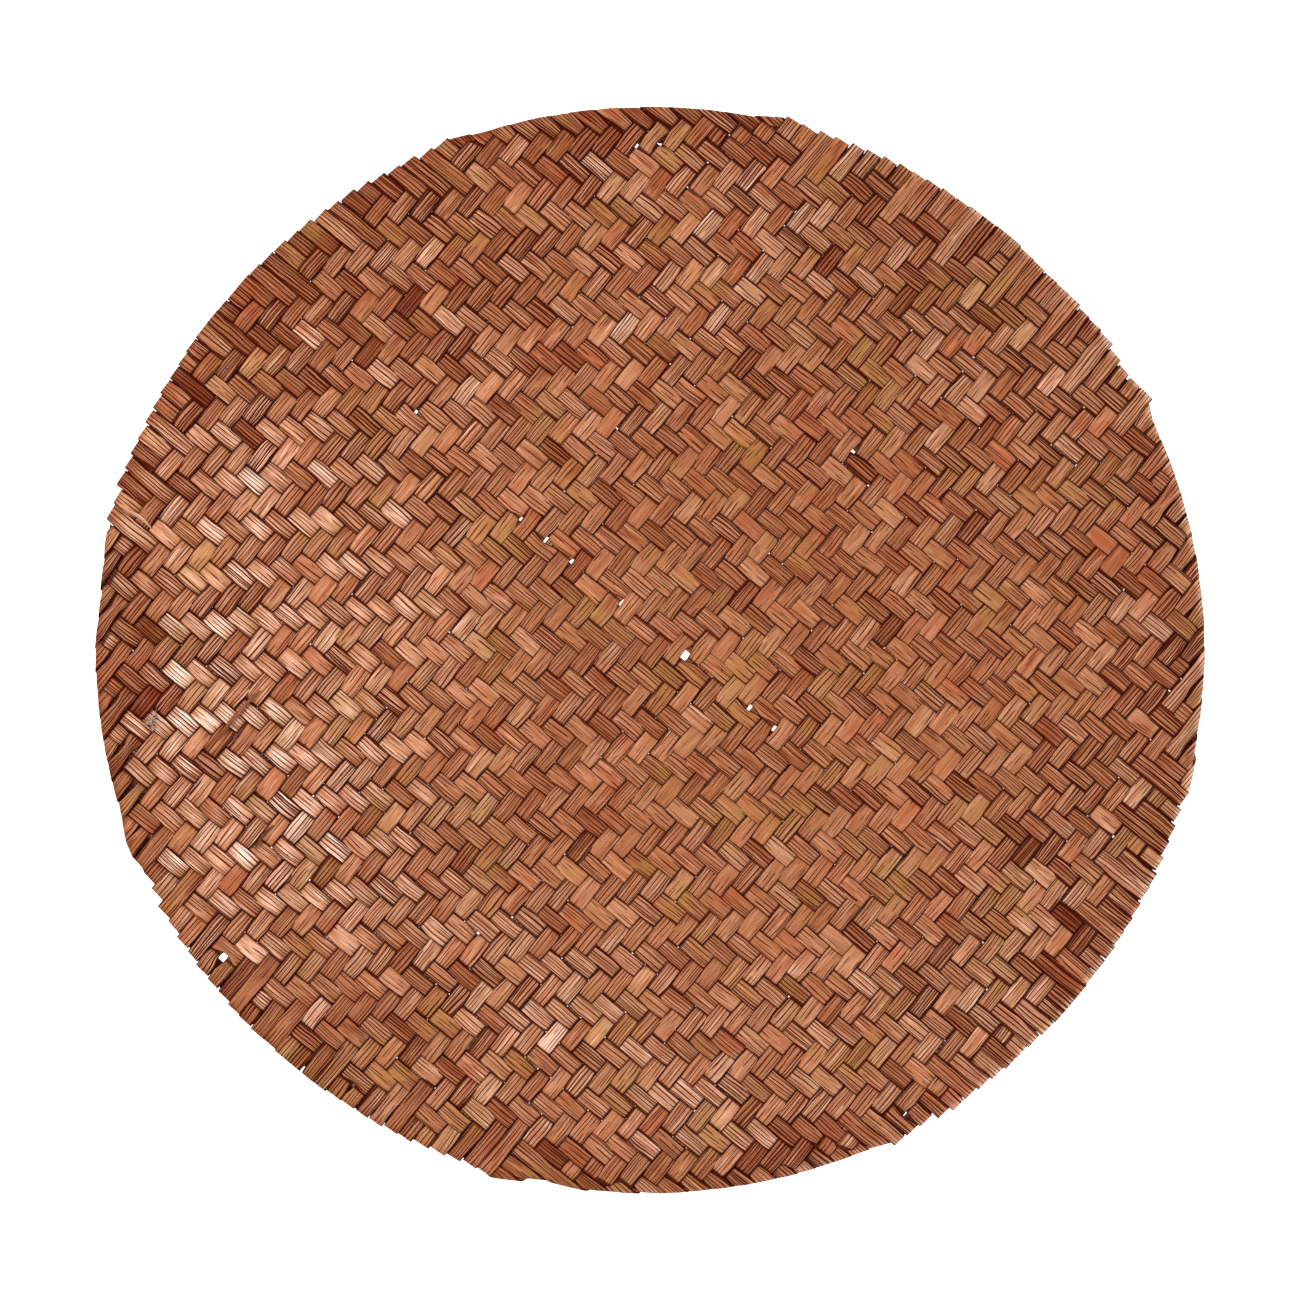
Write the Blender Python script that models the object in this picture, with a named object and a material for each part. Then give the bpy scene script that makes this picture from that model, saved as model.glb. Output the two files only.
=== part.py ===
"""Round placemat plaited from flat leaf strips: one thin flat solid with the folded rim's outline."""

import math
import random

import bmesh
import bpy

# Driving sizes in metres. X is the mat's wide way, Z is up, and the mat lies on Z = 0.
HALF_WIDTH = 0.1900
HALF_DEPTH = 0.1861
STRIP_PITCH = 0.00565
BODY_THICKNESS = 0.0022
RIM_THICKNESS = 0.0027
RIM_BAND = 0.0100
EDGE_ROUND = 0.0005
END_UNEVENNESS = 0.00035
END_LEAN = 0.35
TOP_UNEVENNESS = 0.00012

# The two sets of strips cross square, at these angles from +X in degrees.
RISING = 50.5
FALLING = -39.5

# Smooth stretches of rim, where strips fold over at a slant along the edge. Between them the strips
# of one set meet the edge head on, and each one ends in its own straight step, which leans a share
# END_LEAN of the way towards the rim's own line.
# columns: from_deg, to_deg
SMOOTH_RIM = (
    (-14.0, 27.0),
    (75.5, 111.5),
    (167.0, 201.0),
    (254.0, 296.5),
)

# Stepped stretches between them, with the direction that their strips run in, outwards.
# columns: from_deg, to_deg, outward_deg
STEPPED_RIM = (
    (27.0, 75.5, RISING),
    (111.5, 167.0, FALLING + 180.0),
    (201.0, 254.0, RISING + 180.0),
    (296.5, 346.0, FALLING + 360.0),
)

# Places where a folded corner stands proud of the oval, or the edge draws in a little.
# columns: at_deg, proud_m, spread_deg
CORNERS = (
    (27.0, 0.0024, 1.6),
    (35.0, 0.0008, 2.5),
    (43.5, -0.0007, 2.5),
    (75.5, 0.0022, 1.8),
    (111.5, 0.0014, 2.0),
    (161.5, 0.0009, 2.2),
    (167.0, 0.0015, 1.8),
    (175.0, -0.0007, 3.0),
    (200.5, 0.0017, 2.2),
    (205.5, -0.0012, 1.4),
    (253.3, 0.0020, 1.8),
    (258.5, -0.0008, 2.2),
    (297.0, 0.0016, 2.0),
    (303.5, 0.0013, 1.6),
    (346.5, 0.0012, 1.6),
)


def clear_scene():
    for obj in list(bpy.data.objects):
        bpy.data.objects.remove(obj, do_unlink=True)


def turn_between(first_deg, second_deg):
    """Smallest signed turn from the first angle to the second, in degrees."""
    return (second_deg - first_deg + 180.0) % 360.0 - 180.0


def rim_radius(at_deg):
    """Distance from the centre to the rim, with its proud corners."""
    angle = math.radians(at_deg)
    across = math.cos(angle) / HALF_WIDTH
    along = math.sin(angle) / HALF_DEPTH
    radius = 1.0 / math.hypot(across, along)
    for corner_deg, proud, spread in CORNERS:
        radius += proud * math.exp(-(turn_between(corner_deg, at_deg) / spread) ** 2)
    return radius


def smooth_points(from_deg, to_deg):
    """Points of a smooth stretch, one for every second fold."""
    arc = math.radians(to_deg - from_deg) * HALF_WIDTH
    count = max(2, round(arc / (2.0 * STRIP_PITCH)))
    points = []
    for step in range(1, count):
        at_deg = from_deg + (to_deg - from_deg) * step / count
        radius = rim_radius(at_deg) + random.uniform(-0.4, 0.4) * END_UNEVENNESS
        points.append((at_deg, radius))
    return points


def stepped_points(from_deg, to_deg, outward_deg):
    """Both corners of every strip end between two angles."""
    points = []
    first = math.ceil(math.sin(math.radians(from_deg - outward_deg)) * HALF_WIDTH / STRIP_PITCH)
    last = math.floor(math.sin(math.radians(to_deg - outward_deg)) * HALF_WIDTH / STRIP_PITCH)
    for number in range(first, last + 1):
        middle = number * STRIP_PITCH
        at_deg = outward_deg + math.degrees(math.asin(middle / HALF_WIDTH))
        reach = rim_radius(at_deg) * math.cos(math.radians(at_deg - outward_deg))
        reach += random.uniform(-1.0, 1.0) * END_UNEVENNESS
        slope = math.tan(math.radians(END_LEAN * (at_deg - outward_deg)))
        for side in (-0.46, 0.46):
            offset = middle + side * STRIP_PITCH
            corner_reach = reach - side * STRIP_PITCH * slope
            corner_deg = outward_deg + math.degrees(math.atan2(offset, corner_reach))
            points.append((corner_deg, math.hypot(offset, corner_reach)))
    return points


def outline():
    """The whole rim as (angle, radius) points in order, anticlockwise."""
    points = []
    for from_deg, to_deg in SMOOTH_RIM:
        points += smooth_points(from_deg, to_deg)
    for from_deg, to_deg, outward_deg in STEPPED_RIM:
        points += stepped_points(from_deg, to_deg, outward_deg)
    return sorted(points)


def ring(mesh, rim, inset, height):
    """One closed ring of vertices that follows the rim at a distance inside it."""
    verts = []
    for at_deg, radius in rim:
        angle = math.radians(at_deg)
        inner = radius - inset
        verts.append(mesh.verts.new((inner * math.cos(angle), inner * math.sin(angle), height)))
    return verts


def inner_ring(mesh, rim, share):
    """A ring of the nearly flat middle, at a share of the smooth oval's radius."""
    verts = []
    for at_deg, _ in rim:
        angle = math.radians(at_deg)
        x = share * HALF_WIDTH * math.cos(angle)
        y = share * HALF_DEPTH * math.sin(angle)
        swell = math.sin(x * 41.0 + 0.6) * math.cos(y * 37.0 - 0.9)
        verts.append(mesh.verts.new((x, y, BODY_THICKNESS + TOP_UNEVENNESS * swell)))
    return verts


def join_rings(mesh, lower, upper):
    count = len(lower)
    for index in range(count):
        after = (index + 1) % count
        mesh.faces.new((lower[index], lower[after], upper[after], upper[index]))


def build_mat():
    """The mat: flat underside, rounded edge, a rim band of doubled strips and a slightly uneven middle."""
    mesh = bmesh.new()
    rim = outline()
    rings = [
        ring(mesh, rim, EDGE_ROUND, 0.0),
        ring(mesh, rim, 0.0, EDGE_ROUND),
        ring(mesh, rim, 0.0, RIM_THICKNESS - EDGE_ROUND),
        ring(mesh, rim, EDGE_ROUND, RIM_THICKNESS),
        ring(mesh, rim, RIM_BAND, RIM_THICKNESS),
        inner_ring(mesh, rim, 0.90),
        inner_ring(mesh, rim, 0.70),
        inner_ring(mesh, rim, 0.47),
        inner_ring(mesh, rim, 0.22),
    ]
    for lower, upper in zip(rings, rings[1:]):
        join_rings(mesh, lower, upper)
    mesh.faces.new(rings[-1])
    mesh.faces.new(list(reversed(rings[0])))
    bmesh.ops.triangulate(mesh, faces=[face for face in mesh.faces if len(face.verts) > 4])
    data = bpy.data.meshes.new("mat")
    mesh.to_mesh(data)
    mesh.free()
    return data


def leaf_material():
    material = bpy.data.materials.new("dyed_leaf")
    material.use_nodes = True
    shader = material.node_tree.nodes["Principled BSDF"]
    shader.inputs["Base Color"].default_value = (0.361, 0.128, 0.058, 1.0)
    shader.inputs["Roughness"].default_value = 0.62
    shader.inputs["Metallic"].default_value = 0.0
    return material


random.seed(11)
clear_scene()
mat = bpy.data.objects.new("mat", build_mat())
mat.data.materials.append(leaf_material())
bpy.context.scene.collection.objects.link(mat)
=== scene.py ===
import math
import random

import bmesh
import bpy
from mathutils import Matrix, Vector, noise


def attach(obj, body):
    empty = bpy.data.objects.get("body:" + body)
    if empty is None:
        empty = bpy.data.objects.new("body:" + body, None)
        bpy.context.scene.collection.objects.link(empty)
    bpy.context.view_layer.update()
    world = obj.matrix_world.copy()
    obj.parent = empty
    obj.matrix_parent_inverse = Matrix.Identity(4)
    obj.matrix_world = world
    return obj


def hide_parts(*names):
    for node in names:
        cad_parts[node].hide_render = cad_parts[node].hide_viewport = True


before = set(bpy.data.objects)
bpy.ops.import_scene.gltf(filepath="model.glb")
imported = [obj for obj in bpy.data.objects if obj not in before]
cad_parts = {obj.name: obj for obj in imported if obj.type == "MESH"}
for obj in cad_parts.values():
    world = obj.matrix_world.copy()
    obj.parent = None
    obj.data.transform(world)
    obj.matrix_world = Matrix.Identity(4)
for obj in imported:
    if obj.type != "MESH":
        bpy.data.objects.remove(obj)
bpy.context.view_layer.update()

random.seed(23)

# the plait: two sets of flat leaf strips, two over and two under, metres
plait = {
    "halfWidth": 0.1900,
    "halfDepth": 0.1861,
    "outermost": 0.1870,  # no strip runs further from the centre than this
    "pitch": 0.00565,
    "shiftInPlace": 0.00034,  # how far a strip strays from its even place
    "gaps": (-0.00030, -0.00020, -0.00015, -0.0001, 0.0, 0.0002),  # most neighbours lap a little
    "leafThick": 0.00046,
    "layerRise": 0.00046,  # strip centre above or below the mat's middle
    "middle": 0.00088,  # height of the mat's middle
    "sway": 0.00005,  # how far the middle rises and falls
    "rimLift": 0.00040,  # the tucked ends underneath raise the rim,
    "liftFrom": 0.021,  # from this far inside it
    "liftOver": 0.010,  # over this distance
    "squareBand": 0.0085,  # one set stays on top this close to a square-folded edge
    "slantBand": 0.0042,  # and this close to a slanting one
    "lastCrossing": 0.0005,  # a crossing closer to the rim than this is left out
    "openLength": 0.0030,  # how far along a strip an opening reaches
}

# one strip between its ends: its sides, and how its floats puff up, metres
strap = {
    "waist": 0.965,  # share of its width that a float has where it ends,
    "belly": 0.055,  # and how much more in its middle
    "longBends": 0.00028,
    "shortBends": 0.00024,
    "widthDrift": 0.10,  # how much the width changes slowly, as a share of it,
    "widthNicks": 0.09,  # and quickly
    "leastPuff": 0.00010,
    "morePuff": 0.00100,
    "underPuff": 0.00006,  # floats underneath stay nearly flat
    "roundSides": 0.00013,  # how far the sides bend away from the crown,
    "roundPuff": 0.35,  # and the share of the puff that they lose
    "roll": 0.00011,  # how far a float tips to one side
}

# the ends: folded over the rim and tucked back underneath, metres
fold = {
    "round": 0.00062,
    "plainEnd": 0.0012,  # an end that doesn't fold stops this far inside the rim
    "lean": 0.35,  # how far a square-folded end leans towards the rim's own line
    "leanSpread": 0.15,
    "reachSpread": 0.0003,
    "wedge": (0.08, 0.30),  # how much a slanting end narrows just inside its fold
    "wedgeLeft": 1.6,  # times that much at the left rim,
    "wedgeRest": 1.15,  # and elsewhere
    "notches": (0, 0.02, 0.04, 0.08, 0.15),  # how much a square end narrows
    "lowest": 0.00032,
    "tuckLength": 0.0150,
    "leastTuck": 0.0030,
    "clearOfOpening": 0.0040,
}

# dye and wear, with painted highlights and painted shade, float by float: tone runs 0 dark red brown to 1
# straw, fibre 0 smooth to 1 split
dyeWearAndPaintedLight = {
    "toneSpread": 0.026,  # how much floats differ in the calm middle,
    "coarseSpread": 0.028,  # and how much more where the leaf is coarse
    "evenRight": 0.35,  # they differ by this share less on the right
    "tone": -0.027,
    "coarsePaler": 0.075,
    "rimDarker": 0.07,
    "leafShare": (0.55, 0.50),  # how much of the leaf's own tone shows, and more where it is coarse
    "fibreSpread": 0.15,
    "fibre": -0.07,
    "coarseFibre": 0.26,
    "rimFibre": 0.20,
    "blotFibre": 1.5,
    "crownHighlight": 0.15,  # how pale a bare crown is rubbed,
    "crownHighlightByPuff": 170,  # painted highlight on a float's crown: how pale it is painted, and how much more for each metre of its puff
    "crownHighlightRising": 0.25,  # share of that on the rising set
    "foldHighlight": 0.24,  # painted highlight along the rolled rim on the right, and the rolled rim darker on the left
    "foldDarker": 0.10,  # and on the left
    "diveShade": (0.83, 0.23),  # shade where a strip dives, and more where it is coarse
    "gapShade": 0.85,  # shade in the gaps between the folded ends
}

# some leaves are fibrous and split, others smooth
leafKinds = [
    {"tone": 0.52, "fibre": 0.25},
    {"tone": 0.48, "fibre": 0.55},
    {"tone": 0.56, "fibre": 0.45},
    {"tone": 0.44, "fibre": 0.80},
    {"tone": 0.53, "fibre": 0.70},
    {"tone": 0.58, "fibre": 0.60},
    {"tone": 0.50, "fibre": 0.15},
]
averageTone = 0.515

# direction the strips run in, where the first strip lies, and where the set has worked loose
stripSets = {
    "rising": {"deg": 50.5, "first": -0.0487, "step": 1, "looseAfter": 10, "loose": 0.0004},
    "falling": {"deg": -39.5, "first": 0.0487, "step": -1, "looseAfter": 7, "loose": 0.0005},
}
otherSet = {"rising": "falling", "falling": "rising"}
# the loose place: how many strips it fades over, and its middle and reach along them
loosePlace = {"strips": 5, "middle": 0.006, "reach": 0.070}

# spots where four strips draw back and the table shows: x, y, opening across each set
openings = [
    (-0.0422, 0.0446, 0.0008, 0.0014), (-0.0343, 0.0378, 0.0010, 0.0018), (-0.0257, 0.0302, 0.0008, 0.0014),
    (-0.0089, 0.0151, 0.0008, 0.0016), (0.0120, -0.0024, 0.0015, 0.0023), (0.0354, -0.0192, 0.0010, 0.0015),
    (0.0446, -0.0268, 0.0011, 0.0014), (0.0020, 0.1765, 0.0016, 0.0020), (-0.0030, 0.1735, 0.0009, 0.0016),
    (0.0703, 0.0704, 0.0008, 0.0011), (-0.0807, 0.0831, 0.0007, 0.0010), (-0.0620, -0.0979, 0.0007, 0.0010),
    (-0.1480, -0.1070, 0.0020, 0.0036), (-0.1040, -0.1480, 0.0012, 0.0020),
    (-0.1765, -0.0020, 0.0008, 0.0014), (0.1652, 0.0193, 0.0003, 0.0005),
    (0.1794, -0.0120, 0.0003, 0.0006), (0.0900, -0.1590, 0.0007, 0.0010),
]

# dark blots and broad drifts in the dye: x, y, reach, change in tone
toneSpots = [
    (-0.0841, 0.1202, 0.0050, -0.40), (-0.0978, 0.1064, 0.0050, -0.32), (0.0886, 0.1229, 0.0045, -0.40),
    (0.1459, -0.0944, 0.0050, -0.40), (0.1263, -0.0670, 0.0045, -0.25), (-0.1730, 0.0080, 0.0060, -0.42),
    (-0.1760, -0.0160, 0.0060, -0.42), (-0.1350, 0.0950, 0.0450, -0.03), (-0.0550, 0.1150, 0.0550, -0.03),
    (0.1000, 0.1150, 0.0500, -0.02), (-0.1300, 0.1250, 0.0350, -0.04), (0.0000, -0.1350, 0.0600, 0.04),
    (-0.1450, 0.1180, 0.0280, -0.03), (-0.1050, 0.1500, 0.0280, -0.02), (-0.1800, 0.0300, 0.0200, -0.03),
    (0.1000, -0.1050, 0.0500, 0.03), (0.1450, 0.0000, 0.0450, -0.03),
]

# how the edge is folded: from, to, set on top, and whether each end folds square
rimZones = [
    (-14.0, 27.0, "rising", False),
    (27.0, 75.5, "rising", True),
    (75.5, 111.5, "falling", False),
    (111.5, 167.0, "falling", True),
    (167.0, 201.0, "rising", False),
    (201.0, 254.0, "rising", True),
    (254.0, 296.5, "falling", False),
    (296.5, 346.0, "falling", True),
]

# folded corners that stand proud of the oval: degrees, metres, spread in degrees
rimCorners = [
    (27.0, 0.0024, 1.6), (35.0, 0.0008, 2.5), (43.5, -0.0007, 2.5), (75.5, 0.0022, 1.8),
    (111.5, 0.0014, 2.0), (161.5, 0.0009, 2.2), (167.0, 0.0015, 1.8), (175.0, -0.0007, 3.0),
    (200.5, 0.0017, 2.2), (205.5, -0.0012, 1.4), (253.3, 0.0020, 1.8), (258.5, -0.0008, 2.2),
    (297.0, 0.0016, 2.0), (303.5, 0.0013, 1.6), (346.5, 0.0012, 1.6),
]


def rimRadius(deg):
    angle = math.radians(deg)
    radius = 1 / math.hypot(math.cos(angle) / plait["halfWidth"], math.sin(angle) / plait["halfDepth"])
    for at, proud, spread in rimCorners:
        turn = (deg - at + 180) % 360 - 180
        radius += proud * math.exp(-(turn / spread) ** 2)
    return radius


def rimSpot(deg):
    angle = math.radians(deg)
    return rimRadius(deg) * Vector((math.cos(angle), math.sin(angle), 0))


def insideRim(x, y):
    return rimRadius(math.degrees(math.atan2(y, x))) - math.hypot(x, y)


# which set is on top along the edge, and whether its ends fold square
def zoneAt(x, y):
    first = rimZones[0][0]
    deg = (math.degrees(math.atan2(y, x)) - first) % 360 + first
    for start, end, top, square in rimZones:
        if start <= deg < end:
            return top, square
    return rimZones[0][2:]


def smoothStep(x):
    x = min(1, max(0, x))
    return x * x * (3 - 2 * x)


# where each strip lies across its set, and how wide it is
def layOut(name):
    setup = stripSets[name]
    pitch = plait["pitch"]
    count = int(2 * plait["halfWidth"] / pitch) + 4
    low = -int((plait["halfWidth"] - abs(setup["first"])) / pitch) - 2
    places = {}
    for k in range(low, low + count):
        places[k] = k * pitch + random.uniform(-1, 1) * plait["shiftInPlace"]
    strips = {}
    for k in range(low + 1, low + count - 1):
        room = (places[k + 1] - places[k - 1]) / 2
        gap = random.choice(plait["gaps"])
        at = setup["first"] + setup["step"] * places[k]
        if abs(at) < plait["outermost"]:
            strips[k] = {"at": at, "width": room - gap}
    return strips


layout = {name: layOut(name) for name in stripSets}
along = {}
for name, setup in stripSets.items():
    angle = math.radians(setup["deg"])
    along[name] = Vector((math.cos(angle), math.sin(angle), 0))
print("laid out", sum(len(strips) for strips in layout.values()), "strips")


# the gap between two strips of a set that lies nearest
def nearestGap(name, at):
    places = sorted(strip["at"] for strip in layout[name].values())
    gaps = [(low + high) / 2 for low, high in zip(places, places[1:])]
    return min(gaps, key=lambda gap: abs(gap - at))


# each opening as both sets see it: aside, along, and half its size
openSpots = []
for x, y, acrossRising, acrossFalling in openings:
    place = Vector((x, y, 0))
    risingGap = nearestGap("rising", place.dot(along["falling"]))
    fallingGap = nearestGap("falling", place.dot(along["rising"]))
    openSpots.append({
        "rising": (risingGap, fallingGap, acrossRising / 2),
        "falling": (fallingGap, risingGap, acrossFalling / 2),
    })


# how far a strip's side is drawn back from the open spots
def drawnBack(strip, a, v):
    shift = 0
    for spot in openSpots:
        aside, lengthwise, half = spot[strip["name"]]
        away = aside - strip["at"]
        missing = half - (abs(away) - strip["width"] / 2)
        if away * v > 0 and abs(away) < plait["pitch"] and missing > 0:
            nearness = math.exp(-((a - lengthwise) / plait["openLength"]) ** 4)
            shift -= math.copysign(2 * abs(v) * missing, v) * nearness
    return shift


# how far a strip has slid away from the loose place in its set
def slid(strip, a):
    setup = stripSets[strip["name"]]
    away = strip["number"] - setup["looseAfter"] - 0.5
    side = setup["step"] * (1 if away > 0 else -1)
    lengthwise = (a - loosePlace["middle"]) / loosePlace["reach"]
    return setup["loose"] * side * math.exp(-abs(away) / loosePlace["strips"] - lengthwise ** 2)


# how much darker or paler the dye is at a spot
def dyeAt(x, y):
    change = 0
    for spotX, spotY, reach, amount in toneSpots:
        change += amount * math.exp(-((x - spotX) ** 2 + (y - spotY) ** 2) / reach ** 2)
    return change


# whether a strip is on top where it crosses another
def onTop(name, k, j):
    rising, falling = (k, j) if name == "rising" else (j, k)
    spot = along["falling"] * layout["rising"][rising]["at"]
    spot += along["rising"] * layout["falling"][falling]["at"]
    edgeTop, square = zoneAt(spot.x, spot.y)
    if insideRim(spot.x, spot.y) < plait["squareBand" if square else "slantBand"]:
        top = edgeTop
    else:
        top = "falling" if (rising + falling) % 4 in (0, 3) else "rising"
    return top == name


def middleAt(x, y):
    lift = smoothStep((plait["liftFrom"] - insideRim(x, y)) / plait["liftOver"])
    sway = plait["sway"] * noise.noise(Vector((x * 22, y * 22, 0.3)))
    return plait["middle"] + plait["rimLift"] * lift + sway


# how far the floats puff up: more on the left, where the leaf is coarser, and near the bottom
def looseness(x, y):
    return 0.28 + 0.72 * smoothStep((-x + 0.01) / 0.15) + 0.2 * smoothStep((-y - 0.04) / 0.12)


# how rough and split the leaf is: calm in the middle of the mat, coarser towards the rim
def coarseness(x, y):
    outward = math.hypot((x - 0.03) / plait["halfWidth"], y / plait["halfDepth"])
    return smoothStep((outward - 0.25) / 0.55)


# a strip's spot this far along it, and this far aside from its own line
def spotOn(strip, a, aside=0.0):
    return strip["across"] * (strip["at"] + aside) + strip["along"] * a


# the rim at each end of a strip, and how the strip meets it
def findEnds(strip):
    ends = []
    for sign in (-1, 1):
        reach = math.sqrt(plait["halfWidth"] ** 2 - strip["at"] ** 2)
        for turn in range(4):
            spot = spotOn(strip, sign * reach)
            deg = math.degrees(math.atan2(spot.y, spot.x))
            reach = math.sqrt(max(0.00001, rimRadius(deg) ** 2 - strip["at"] ** 2))
        top, square = zoneAt(spot.x, spot.y)
        folds = top == strip["name"]
        edge = (rimSpot(deg + 1.5) - rimSpot(deg - 1.5)).normalized()
        normal = Vector((edge.y, -edge.x, 0))
        if folds and square:
            lean = fold["lean"] + random.uniform(-1, 1) * fold["leanSpread"]
            normal = (strip["along"] * sign).lerp(normal, lean).normalized()
            reach += random.uniform(-1, 1) * fold["reachSpread"]
        narrowing = random.uniform(*fold["wedge"])
        ends.append({
            "sign": sign, "reach": reach, "normal": normal, "folds": folds, "slant": not square,
            "wedge": narrowing * fold["wedgeLeft" if spot.x < -0.15 else "wedgeRest"],
            "notch": random.choice(fold["notches"]),
        })
    return ends


# the crossings along a strip, in order
def findCrossings(strip):
    others = layout[otherSet[strip["name"]]]
    crossings = []
    for j, other in sorted(others.items(), key=lambda item: item[1]["at"]):
        spot = spotOn(strip, other["at"])
        if insideRim(spot.x, spot.y) > plait["lastCrossing"]:
            crossings.append({"at": other["at"], "top": onTop(strip["name"], strip["number"], j)})
    return crossings


# one float's own puff, dye and wear, and its painted highlight
def shapeFloat(strip, run):
    centre = spotOn(strip, (run["from"] + run["to"]) / 2)
    x, y = centre.x, centre.y
    coarse = coarseness(x, y)
    blot = dyeAt(x, y)
    atRim = smoothStep((0.020 - insideRim(x, y)) / 0.010)
    run["coarse"] = coarse
    run["puff"] = strap["leastPuff"] + strap["morePuff"] * looseness(x, y) * random.random() ** 1.2
    run["roll"] = random.uniform(-1, 1) * strap["roll"]
    run["spread"] = 1 - dyeWearAndPaintedLight["evenRight"] * smoothStep(x / 0.08)
    run["tone"] = random.gauss(0, dyeWearAndPaintedLight["toneSpread"] + dyeWearAndPaintedLight["coarseSpread"] * coarse) * run["spread"]
    run["tone"] += dyeWearAndPaintedLight["tone"] + dyeWearAndPaintedLight["coarsePaler"] * coarse + blot
    run["tone"] -= dyeWearAndPaintedLight["rimDarker"] * atRim * smoothStep((0.12 - x) / 0.10)
    run["fibre"] = random.gauss(0, dyeWearAndPaintedLight["fibreSpread"]) + dyeWearAndPaintedLight["fibre"] + dyeWearAndPaintedLight["coarseFibre"] * coarse
    run["fibre"] += dyeWearAndPaintedLight["rimFibre"] * atRim + max(0, -dyeWearAndPaintedLight["blotFibre"] * blot)
    # painted highlight: the crowns on the left are painted pale where the light catches them, most of all
    # those of the falling set, but not in a blot
    highlightShare = smoothStep((-x - 0.03) / 0.11) * math.exp(-((y + 0.020) / 0.095) ** 4)
    highlightShare *= (1 if strip["name"] == "falling" else dyeWearAndPaintedLight["crownHighlightRising"]) * max(0, 1 + 4 * blot)
    run["crownHighlight"] = highlightShare * (dyeWearAndPaintedLight["crownHighlight"] + dyeWearAndPaintedLight["crownHighlightByPuff"] * run["puff"])
    # now and then a float is fibrous and a little darker, more often at the left
    if random.random() < 0.02 + 0.06 * smoothStep((-x - 0.10) / 0.07):
        run["fibre"] = 0.6
        run["tone"] -= 0.04


# a float is a stretch of a strip that stays on one side
def findFloats(strip, crossings):
    floats = []
    for crossing in crossings:
        if not floats or floats[-1]["top"] != crossing["top"]:
            floats.append({"top": crossing["top"], "from": crossing["at"]})
        floats[-1]["to"] = crossing["at"]
        crossing["float"] = floats[-1]
    for run in floats:
        shapeFloat(strip, run)


# lengthwise stations: place, share of the layer's rise, and float
def layStations(crossings):
    stations = []
    for here, after in zip(crossings, crossings[1:]):
        gap = after["at"] - here["at"]
        dives = here["top"] != after["top"]
        for u in (0, 0.25, 0.4, 0.5, 0.6, 0.75) if dives else (0, 0.33, 0.67):
            mix = smoothStep((u - 0.2) / 0.6)
            rise = (1 - mix) * (1 if here["top"] else -1) + mix * (1 if after["top"] else -1)
            stations.append((here["at"] + u * gap, rise, here["float"] if u < 0.5 else after["float"]))
    final = crossings[-1]
    stations.append((final["at"], 1 if final["top"] else -1, final["float"]))
    return stations


# how far aside from its own line a strip's point lies, v from -0.5 to 0.5 across it
def asideAt(strip, a, v, bulge=1.0):
    seed = strip["seed"]
    share = strap["waist"] + strap["belly"] * bulge
    for end in strip["ends"]:
        inward = end["reach"] - a * end["sign"]
        if end["folds"] and end["slant"]:
            share -= end["wedge"] * min(1, max(0, inward / 0.009)) * smoothStep((0.014 - inward) / 0.004)
        elif end["folds"]:
            share -= end["notch"] * smoothStep((0.011 - inward) / 0.010)
    bends = strap["longBends"] * noise.noise(Vector((a * 45, seed, 1.7)))
    bends += strap["shortBends"] * noise.noise(Vector((a * 120, seed, 2.9)))
    uneven = strap["widthDrift"] * noise.noise(Vector((a * 80, seed, 5.1)))
    uneven += strap["widthNicks"] * noise.noise(Vector((a * 260, seed, v)))
    return bends + v * strip["width"] * (1 + uneven) * share + drawnBack(strip, a, v) + slid(strip, a)


def floatShare(run, a):
    length = run["to"] - run["from"] + plait["pitch"]
    return min(1, max(0, (a - run["from"] + plait["pitch"] / 2) / length))


def heightAt(strip, a, v, rise, run):
    spot = spotOn(strip, a)
    arch = math.sin(math.pi * floatShare(run, a))
    crown = run["puff"] * arch ** 0.7
    rounding = strap["roundSides"]
    if rise > 0:
        rounding += strap["roundPuff"] * run["puff"]
    else:
        crown = min(crown, strap["underPuff"])
    z = middleAt(spot.x, spot.y) + plait["layerRise"] * rise
    z += rise * (crown - rounding * (2 * v) ** 2)
    return z + run["roll"] * 2 * v * arch


rowPlaces = (-0.5, -0.42, 0.0, 0.42, 0.5)  # where the points of a row lie across the strip


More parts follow.
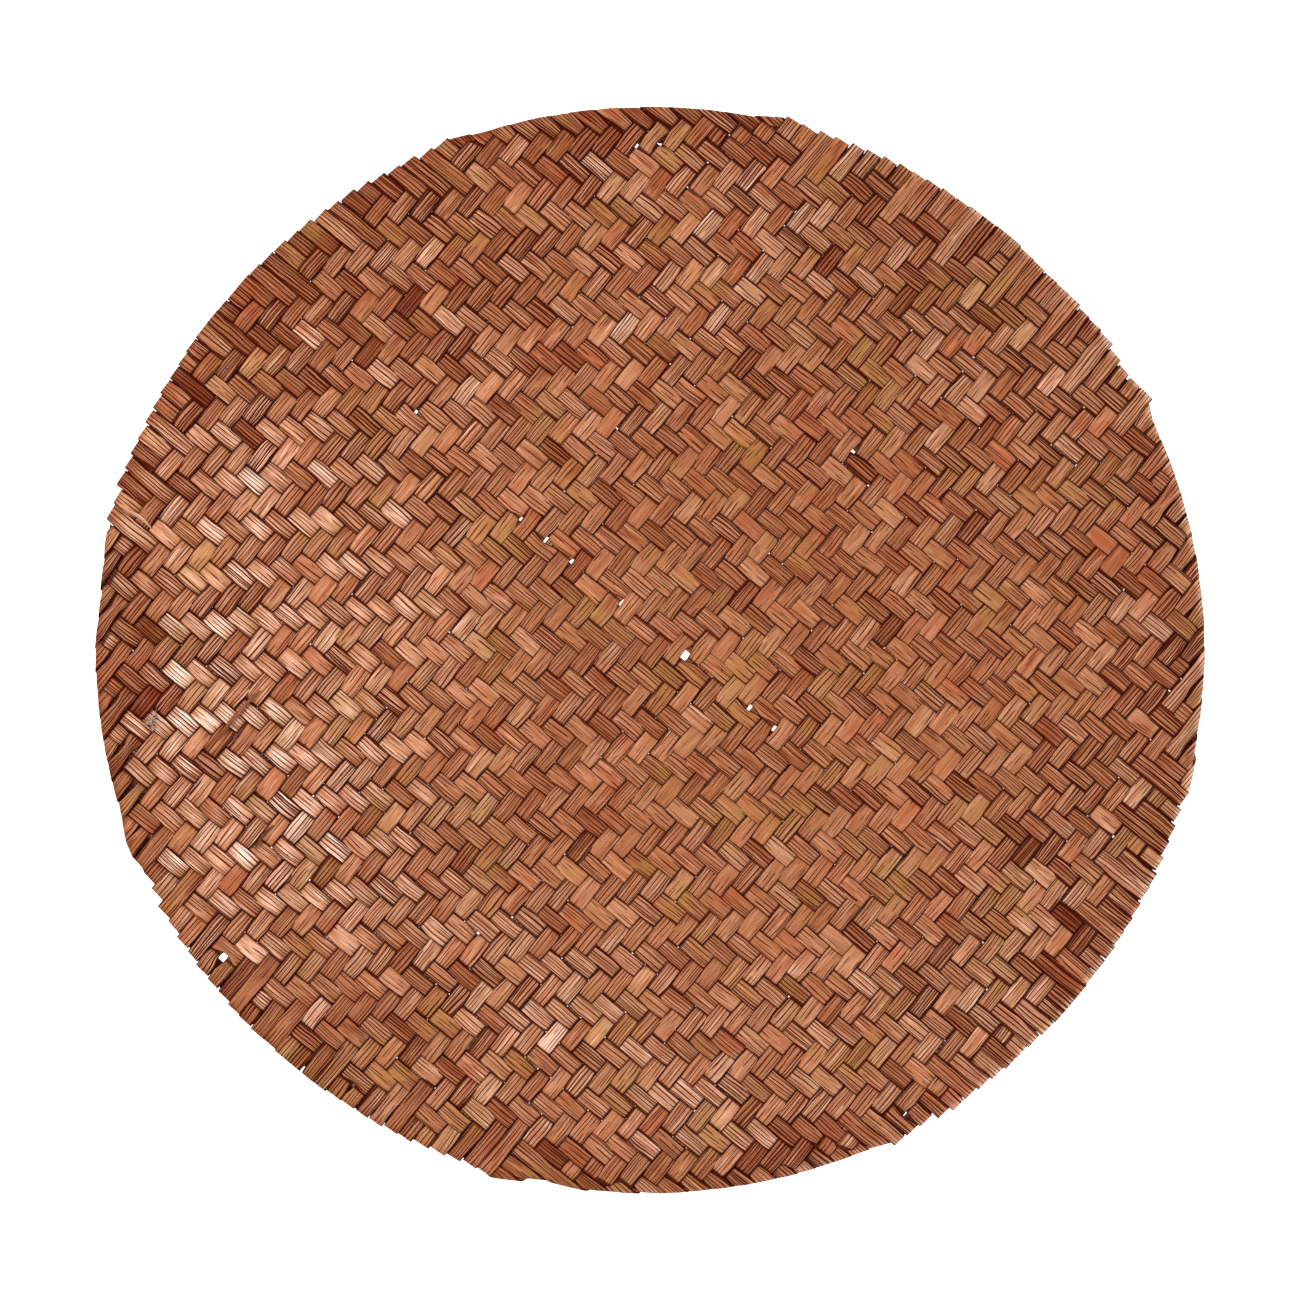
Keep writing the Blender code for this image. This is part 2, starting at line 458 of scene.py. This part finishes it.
# an end of a strip: straight on to the fold, round it, and back underneath
def foldEnd(strip, end, station):
    lastA, lastRise, run = station
    sign, normal = end["sign"], end["normal"]
    outward = strip["along"] * sign
    slope = outward.dot(normal)
    side = 1 if end["folds"] else -1
    spot = spotOn(strip, sign * end["reach"])
    topZ = middleAt(spot.x, spot.y) + plait["layerRise"] * side
    rows = []
    for part in (0.3, 0.6, 1.0):
        row = []
        mix = smoothStep(part)
        for v, foldA in zip(rowPlaces, end["foldAt"]):
            a = lastA + (foldA * sign - lastA) * part
            point = spotOn(strip, a, asideAt(strip, a, v))
            point.z = heightAt(strip, lastA, v, lastRise, run) * (1 - mix) + topZ * mix
            row.append((point, a, v, side, run))
        rows.append(row)
    if not end["folds"]:
        return rows

    radius = fold["round"]
    halfDrop = (topZ - max(fold["lowest"], topZ - 2 * radius)) / 2
    tuck = fold["tuckLength"] * random.uniform(0.8, 1.15)
    slide = (outward - slope * normal) / slope
    # a tuck stops short of an open spot
    back = slide - normal
    for x, y, acrossRising, acrossFalling in openings:
        away = Vector((x, y, 0)) - spotOn(strip, end["foldAt"][2] * sign)
        reach = away.dot(back) / back.length_squared
        if 0 < reach < tuck + fold["clearOfOpening"] and (away - back * reach).length < 0.0045:
            tuck = max(fold["leastTuck"], reach - fold["clearOfOpening"])
    bend = math.pi * radius
    lengths = [radius * turn for turn in (0.5, 1.0, 1.57, 2.15, 2.7, 3.1416)]
    lengths += [bend + tuck * share for share in (0.25, 0.5, 0.75, 1.0)]
    for length in lengths:
        turn = min(length / radius, math.pi)
        inward = max(0, length - bend)
        row = []
        for v, foldA in zip(rowPlaces, end["foldAt"]):
            point = spotOn(strip, foldA * sign, asideAt(strip, foldA * sign, v))
            point += slide * length + normal * (radius * math.sin(turn) - inward)
            point.z = topZ - halfDrop * (1 - math.cos(turn))
            row.append((point, (foldA + length) * sign, v, 1, run))
        rows.append(row)
    return rows


# tone, fibre, shade and seed at a point of a strip, for its material
def leafAt(strip, kind, point, a, rise, run):
    inside = insideRim(point.x, point.y)
    seed = strip["seed"]
    crown = math.sin(math.pi * floatShare(run, a)) ** 0.8
    share, coarseShare = dyeWearAndPaintedLight["leafShare"]
    tone = (kind["tone"] - averageTone) * (share + coarseShare * run["coarse"]) * run["spread"]
    # each float's crown made paler by its painted highlight
    tone += averageTone + run["tone"] + run["crownHighlight"] * crown
    tone += 0.08 * noise.noise(Vector((a * 16, seed, 8.8)))
    atFold = smoothStep((0.0020 - inside) / 0.0016)
    # painted highlight along the rolled rim on the right; the rolled rim is darker on the left
    tone += atFold * dyeWearAndPaintedLight["foldHighlight"] * smoothStep(point.x / 0.15)
    tone -= atFold * dyeWearAndPaintedLight["foldDarker"] * smoothStep(-point.x / 0.08)
    fibre = kind["fibre"] + run["fibre"] + 0.2 * noise.noise(Vector((a * 60, seed, 3.3)))
    shade, coarseShade = dyeWearAndPaintedLight["diveShade"]
    shade = min(1, (1 - abs(rise)) * (shade + coarseShade * run["coarse"]))
    if rise < 0:
        shade = max(shade, dyeWearAndPaintedLight["gapShade"] * smoothStep((0.011 - inside) / 0.004))
    return tone, min(1.25, fibre), shade, kind["seed"]


# the strip's rows of points become a mesh: a flat grid first, then moved into place
def meshStrip(strip, rows, kind):
    bm = bmesh.new()
    uv = bm.loops.layers.uv.new("leafRun")
    leaf = bm.verts.layers.float_color.new("leaf")
    lengths, wide = len(rows) - 1, len(rowPlaces)
    bmesh.ops.create_grid(bm, x_segments=lengths, y_segments=wide - 1, size=0.5)
    lattice = sorted(bm.verts, key=lambda vert: (round((vert.co.x + 0.5) * lengths), vert.co.y))
    bm.verts.index_update()
    placed = {}
    for index, vert in enumerate(lattice):
        point, a, v, rise, run = rows[index // wide][index % wide]
        vert.co = point
        vert[leaf] = leafAt(strip, kind, point, a, rise, run)
        placed[vert.index] = (a, v)
    for face in bm.faces:
        face.smooth = True
        for loop in face.loops:
            loop[uv].uv = placed[loop.vert.index]
    return bm


# one strip, woven, folded over at both ends and tucked back underneath
def weaveStrip(name, k, kind):
    strip = dict(layout[name][k], name=name, number=k, along=along[name], across=along[otherSet[name]])
    strip["seed"] = k * 3.7 + (50 if name == "rising" else 0)
    strip["ends"] = findEnds(strip)
    crossings = findCrossings(strip)
    if len(crossings) < 3:
        return None
    findFloats(strip, crossings)
    stations = layStations(crossings)
    for end in strip["ends"]:
        slope = (strip["along"] * end["sign"]).dot(end["normal"])
        spread = strip["across"].dot(end["normal"])
        edgeIn = fold["round"] if end["folds"] else fold["plainEnd"]
        setBack = [edgeIn + v * strip["width"] * spread for v in rowPlaces]
        end["foldAt"] = [end["reach"] - back / slope for back in setBack]
        nearest = min(end["foldAt"]) - 0.0006
        stations = [station for station in stations if station[0] * end["sign"] < nearest]
    if len(stations) < 3:
        return None
    rows = []
    for a, rise, run in stations:
        row = []
        bulge = math.sin(math.pi * floatShare(run, a))
        for v in rowPlaces:
            point = spotOn(strip, a, asideAt(strip, a, v, bulge))
            point.z = heightAt(strip, a, v, rise, run)
            row.append((point, a, v, rise, run))
        rows.append(row)
    low, high = strip["ends"]
    rows = foldEnd(strip, low, stations[0])[::-1] + rows
    rows += foldEnd(strip, high, stations[-1])
    return meshStrip(strip, rows, kind), abs(rows[-1][0][1] - rows[0][0][1])


# loose bits of leaf: slivers that have sprung loose, and a tuft of broken fibres
looseBits = {
    # from x, y to x, y, width, tone
    "slivers": [
        (-0.1483, -0.0310, -0.1335, -0.0140, 0.0015, 0.35),
        (-0.1355, -0.0680, -0.1290, -0.0600, 0.0010, 0.20),
        (-0.1790, 0.0480, -0.1710, 0.0420, 0.0012, 0.85),
    ],
    "resting": 0.0009,  # above the upper strips' own middle
    "bow": 0.0006,
    "tuft": (-0.1700, -0.0245),
    "tuftSpread": 0.0010,
    "fibres": 9,
    "longestFibre": 0.0042,
    "fibreWidth": 0.00022,
    "fibreTone": 1.3,
    "fibreStep": 0.00002,  # each lies this much higher than the last
}


# a thin loose piece of leaf lying on the plait, bowed up and aside in its middle
def laySliver(bm, start, end, width, tone, height):
    uv = bm.loops.layers.uv["leafRun"]
    leaf = bm.verts.layers.float_color["leaf"]
    lengthwise = end - start
    crosswise = Vector((-lengthwise.y, lengthwise.x, 0)).normalized() * width
    before = len(bm.verts)
    bmesh.ops.create_grid(bm, x_segments=6, y_segments=1, size=0.5)
    bm.verts.ensure_lookup_table()
    places = {}
    for vert in bm.verts[before:]:
        u = vert.co.x + 0.5
        v = vert.co.y
        bow = math.sin(math.pi * u)
        vert.co = start + lengthwise * u + crosswise * (v * (0.3 + 0.7 * bow) + 0.5 * bow)
        vert.co.z = height + looseBits["bow"] * bow
        vert[leaf] = (tone, 0.3, 0.0, 0.5)
        places[vert] = (u * lengthwise.length, v)
    for vert in places:
        for face in vert.link_faces:
            for loop in face.loops:
                loop[uv].uv = places[loop.vert]


def layLooseBits(bm):
    height = plait["middle"] + plait["layerRise"] + looseBits["resting"]
    for startX, startY, endX, endY, width, tone in looseBits["slivers"]:
        laySliver(bm, Vector((startX, startY, 0)), Vector((endX, endY, 0)), width, tone, height)
    x, y = looseBits["tuft"]
    spread = looseBits["tuftSpread"]
    for number in range(looseBits["fibres"]):
        turn = 2 * math.pi * random.random()
        start = Vector((x + random.uniform(-1, 1) * spread, y + random.uniform(-1, 1) * spread, 0))
        length = looseBits["longestFibre"] * random.uniform(0.4, 1)
        end = start + Vector((math.cos(turn), math.sin(turn), 0)) * length
        laySliver(bm, start, end, looseBits["fibreWidth"], looseBits["fibreTone"],
                  height + number * looseBits["fibreStep"])


# woven in bundles of strips, one mesh a bundle
def weaveBundle(name, pieceName, keys):
    bm = bmesh.new()
    widths = []
    longest = 0
    area = 0
    for k in keys:
        kind = dict(random.choice(leafKinds))
        kind["tone"] += random.uniform(-0.05, 0.05)
        kind["fibre"] += random.uniform(-0.15, 0.15)
        kind["seed"] = random.random()
        made = weaveStrip(name, k, kind)
        if made is None:
            continue
        strip, length = made
        width = layout[name][k]["width"]
        mesh = bpy.data.meshes.new("strip")
        strip.to_mesh(mesh)
        strip.free()
        bm.from_mesh(mesh)
        bpy.data.meshes.remove(mesh)
        widths.append(width)
        longest = max(longest, length)
        area += width * length
    if pieceName == "risingLeaves1":
        layLooseBits(bm)
    bmesh.ops.recalc_face_normals(bm, faces=bm.faces)
    mesh = bpy.data.meshes.new(pieceName)
    bm.to_mesh(mesh)
    bm.free()
    obj = bpy.data.objects.new(pieceName, mesh)
    bpy.context.scene.collection.objects.link(obj)
    thick = obj.modifiers.new("leaf thickness", "SOLIDIFY")
    thick.thickness = plait["leafThick"]
    thick.offset = 0
    return obj, (sum(widths), longest), area


bundles = []
for name in stripSets:
    keys = sorted(layout[name])
    third = math.ceil(len(keys) / 3)
    for number in range(3):
        part = keys[number * third:(number + 1) * third]
        bundles.append(weaveBundle(name, "%sLeaves%d" % (name, number + 1), part))
print("woven", len(bundles), "bundles")


def linear(hexCode):
    values = [int(hexCode[i:i + 2], 16) / 255 for i in (1, 3, 5)]
    return tuple(v / 12.92 if v <= 0.04045 else ((v + 0.055) / 1.055) ** 2.4 for v in values) + (1,)


# adds a node with its settings, and links or sets its inputs, by place or by name
def node(tree, kind, inputs=(), **settings):
    made = tree.nodes.new("ShaderNode" + kind)
    for key, value in settings.items():
        setattr(made, key, value)
    for key, value in inputs.items() if isinstance(inputs, dict) else enumerate(inputs):
        if isinstance(value, bpy.types.Node):
            value = value.outputs[0]
        if isinstance(value, bpy.types.NodeSocket):
            tree.links.new(value, made.inputs[key])
        else:
            made.inputs[key].default_value = value
    return made


# dyed sedge leaf, dried flat and split by hand: long fibres, hairline cracks, a satin skin
def leafMaterial():
    look = {
        "darkest": "#4e1a0a", "dark": "#854526", "middle": "#a76847", "warm": "#c18969", "pale": "#facab4",
        "palest": "#f4e6dc", "crack": "#460a00", "hair": "#641c02", "edge": "#420a00", "olive": "#a97c40",
        "russet": "#a84c2a", "redTint": "#fff2e7", "greyTint": "#fafef9", "sheen": "#ffe7d1",
        "ior": 1.45,
        "specular": 0.13,
        "bump": 0.00030,
        # each kind of streak: how wide in mm, and how many times longer than wide
        "fibres": (0.34, 30), "bands": (1.5, 16), "cracks": (1.15, 28), "hairs": (0.55, 26),
        "splits": (1.2, 8), "flecks": (1.3, 1.4),
        "patches": 22.2,  # mm, cloudy patches in the dye
    }
    soft = {"interpolation_type": "SMOOTHSTEP"}
    material = bpy.data.materials.new("dyedLeaf")
    material.use_nodes = True
    tree = material.node_tree
    shader = tree.nodes["Principled BSDF"]
    leaf = node(tree, "Attribute", attribute_name="leaf")
    tone, fibre, dives = node(tree, "SeparateColor", [leaf.outputs["Color"]]).outputs[:3]
    seed = leaf.outputs["Alpha"]
    lane = node(tree, "SeparateXYZ", [node(tree, "UVMap", uv_map="leafRun")])
    alongMm = node(tree, "Math", [lane.outputs["X"], 1000.0], operation="MULTIPLY")
    acrossMm = node(tree, "Math", [lane.outputs["Y"], plait["pitch"] * 1000], operation="MULTIPLY")
    layer = node(tree, "Math", [seed, 40.0], operation="MULTIPLY")

    # noise drawn out along the leaf
    def streaks(size, detail, kind="TexNoise"):
        wide, longer = size
        lengthwise = node(tree, "Math", [alongMm, 1 / (wide * longer)], operation="MULTIPLY")
        crosswise = node(tree, "Math", [acrossMm, 1 / wide], operation="MULTIPLY")
        place = node(tree, "CombineXYZ", [lengthwise, crosswise, layer])
        return node(tree, kind, {"Vector": place, "Scale": 1.0, "Detail": detail, "Roughness": 0.55})

    # cracks run side by side down the leaf, a random distance apart, wander a little and gape in split leaf
    def lines(size, thin, faded):
        wide, longer = size
        sway = node(tree, "Math", [streaks((wide * 3, longer / 3), 0.0), 1.8, -0.9], operation="MULTIPLY_ADD")
        place = node(tree, "Math", [acrossMm, 1 / wide, layer], operation="MULTIPLY_ADD")
        place = node(tree, "Math", [place, sway], operation="ADD")
        cells = node(tree, "TexVoronoi", {"W": place, "Scale": 1.0, "Randomness": 1.0},
                     feature="DISTANCE_TO_EDGE", voronoi_dimensions="1D")
        gape = node(tree, "Math", [fibre, 0.9], operation="SUBTRACT", use_clamp=True)
        border = node(tree, "Math", [gape, -0.20, cells], operation="MULTIPLY_ADD")
        return node(tree, "MapRange", [border, thin, faded, 1.0, 0.0], **soft)

    fine = streaks(look["fibres"], 2.0)
    broad = streaks(look["bands"], 1.0)
    openHere = node(tree, "Math", [fibre, 0.36, streaks(look["splits"], 1.0)], operation="MULTIPLY_ADD")
    openHere = node(tree, "MapRange", [openHere, 0.56, 0.68, 0.0, 1.0], **soft)
    crack = node(tree, "Math", [lines(look["cracks"], 0.08, 0.15), openHere], operation="MULTIPLY")
    hairShare = node(tree, "Math", [fibre, 0.68], operation="MULTIPLY", use_clamp=True)
    hair = node(tree, "Math", [lines(look["hairs"], 0.05, 0.15), hairShare], operation="MULTIPLY")

    # the dye: each leaf its own tone, wandering with the grain; the pale end of the ramp shows mostly where
    # highlights are painted on crowns and the rolled rim
    mixed = node(tree, "Math", [fine, 0.85, tone], operation="MULTIPLY_ADD")
    mixed = node(tree, "Math", [broad, 0.35, mixed], operation="MULTIPLY_ADD")
    mixed = node(tree, "Math", [mixed, 0.60], operation="SUBTRACT")
    ramp = node(tree, "ValToRGB", [mixed])
    stops = ramp.color_ramp.elements
    stops[0].position, stops[0].color = 0.05, linear(look["darkest"])
    stops[1].position, stops[1].color = 1.0, linear(look["palest"])
    for place, key in ((0.28, "dark"), (0.50, "middle"), (0.68, "warm"), (0.92, "pale")):
        stops.new(place).color = linear(look[key])
    spot = node(tree, "TexCoord").outputs["Object"]
    patches = node(tree, "TexNoise", {"Vector": spot, "Scale": 1000 / look["patches"], "Detail": 3.0,
                                      "Roughness": 0.6})
    olive = node(tree, "MapRange", [patches, 0.50, 0.70, 0.0, 0.5], **soft)
    russet = node(tree, "MapRange", [patches, 0.46, 0.30, 0.0, 0.4], **soft)
    tint = node(tree, "ValToRGB", [seed])
    tint.color_ramp.elements[0].color = linear(look["redTint"])
    tint.color_ramp.elements[1].color = linear(look["greyTint"])

    # small dark flecks, in some cells only
    flecks = streaks(look["flecks"], 0.0, "TexVoronoi")
    fleck = node(tree, "MapRange", [flecks.outputs["Distance"], 0.08, 0.16, 1.0, 0.0], **soft)
    chance = node(tree, "SeparateColor", [flecks.outputs["Color"]])
    some = node(tree, "MapRange", [chance, 0.80, 0.84, 0.0, 0.8], **soft)
    fleck = node(tree, "Math", [fleck, some], operation="MULTIPLY")

    # darker sides, partly wear and partly painted shade between neighbouring strips, ragged with the grain,
    # and painted shade where the strip dives under
    side = node(tree, "Math", [lane.outputs["Y"]], operation="ABSOLUTE")
    side = node(tree, "Math", [broad, 0.12, side], operation="MULTIPLY_ADD")
    side = node(tree, "Math", [fibre, 0.055, side], operation="MULTIPLY_ADD")
    wornAndShadedSides = node(tree, "MapRange", [side, 0.513, 0.578, 0.0, 1.0], **soft)
    shaded = node(tree, "MapRange", [dives, 0.30, 0.85, 0.0, 0.95], **soft)
    dim = node(tree, "Math", [wornAndShadedSides, shaded], operation="MAXIMUM")

    # each colour laid over the last, by its own share
    colour = ramp.outputs[0]
    for share, over, way in (
        (olive, linear(look["olive"]), "MIX"),
        (russet, linear(look["russet"]), "MIX"),
        (0.9, tint, "MULTIPLY"),
        (hair, linear(look["hair"]), "MIX"),
        (crack, linear(look["crack"]), "MIX"),
        (fleck, linear(look["crack"]), "MIX"),
        (dim, linear(look["edge"]), "MIX"),
    ):
        blend = node(tree, "Mix", {0: share, 6: colour, 7: over}, data_type="RGBA", blend_type=way)
        colour = blend.outputs[2]
    tree.links.new(colour, shader.inputs["Base Color"])
    rough = node(tree, "MapRange", [fine, 0.3, 0.7, 0.26, 0.42], **soft)
    tree.links.new(rough.outputs[0], shader.inputs["Roughness"])
    shader.inputs["IOR"].default_value = look["ior"]
    shader.inputs["Specular IOR Level"].default_value = look["specular"]
    shader.inputs["Specular Tint"].default_value = linear(look["sheen"])
    grain = node(tree, "Math", [fine, 0.7], operation="MULTIPLY")
    cuts = node(tree, "Math", [hair, 0.4, crack], operation="MULTIPLY_ADD")
    relief = node(tree, "Math", [grain, cuts], operation="SUBTRACT")
    bump = node(tree, "Bump", {"Strength": 1.0, "Distance": look["bump"], "Height": relief})
    tree.links.new(bump.outputs[0], shader.inputs["Normal"])
    return material


leafSkin = leafMaterial()
for obj, flat, area in bundles:
    obj.data.materials.append(leafSkin)
    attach(obj, "root")
    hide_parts("mat")
print("dyed")

# table, light and camera
studio = {
    "table": "#f4f4f2",
    "tableHalf": 4.0,
    "tableRough": 0.7,
    "tableGlow": 1.0,  # keeps the ground plain white, with no shadow
    "keyPower": 13.0,
    "fillPower": 9.5,
    "worldPower": 0.58,
    "lens": 85,
    "sensor": 36,
    "seenWidth": 0.4463,  # metres of table across the picture
}
bm = bmesh.new()
bmesh.ops.create_grid(bm, x_segments=1, y_segments=1, size=studio["tableHalf"])
tableMesh = bpy.data.meshes.new("tableTop")
bm.to_mesh(tableMesh)
bm.free()
tableTop = bpy.data.objects.new("tableTop", tableMesh)
bpy.context.scene.collection.objects.link(tableTop)
# a painted board, matt and even
paint = bpy.data.materials.new("whitePaint")
paint.use_nodes = True
coat = paint.node_tree.nodes["Principled BSDF"]
coat.inputs["Base Color"].default_value = linear(studio["table"])
coat.inputs["Roughness"].default_value = studio["tableRough"]
coat.inputs["Emission Color"].default_value = linear("#ffffff")
coat.inputs["Emission Strength"].default_value = studio["tableGlow"]
tableMesh.materials.append(paint)


def areaLight(name, place, size, power):
    data = bpy.data.lights.new(name, "AREA")
    data.shape = "SQUARE"
    data.size = size
    data.energy = power
    light = bpy.data.objects.new(name, data)
    light.location = place
    light.rotation_euler = (-Vector(place)).to_track_quat("-Z", "Y").to_euler()
    bpy.context.scene.collection.objects.link(light)


areaLight("windowLeft", (-0.78, 0.42, 0.86), 0.30, studio["keyPower"])
areaLight("farSide", (0.60, -0.90, 1.10), 0.8, studio["fillPower"])
world = bpy.data.worlds.new("room")
world.use_nodes = True
sky = world.node_tree.nodes["Background"]
sky.inputs["Color"].default_value = linear("#ffffff")
sky.inputs["Strength"].default_value = studio["worldPower"]
bpy.context.scene.world = world

camera = bpy.data.objects.new("camera", bpy.data.cameras.new("camera"))
camera.data.lens = studio["lens"]
camera.data.sensor_width = studio["sensor"]
camera.location = (0, 0, studio["seenWidth"] * studio["lens"] / studio["sensor"])
bpy.context.scene.collection.objects.link(camera)
bpy.context.scene.camera = camera
bpy.context.scene.view_settings.view_transform = "Standard"
print("lit")
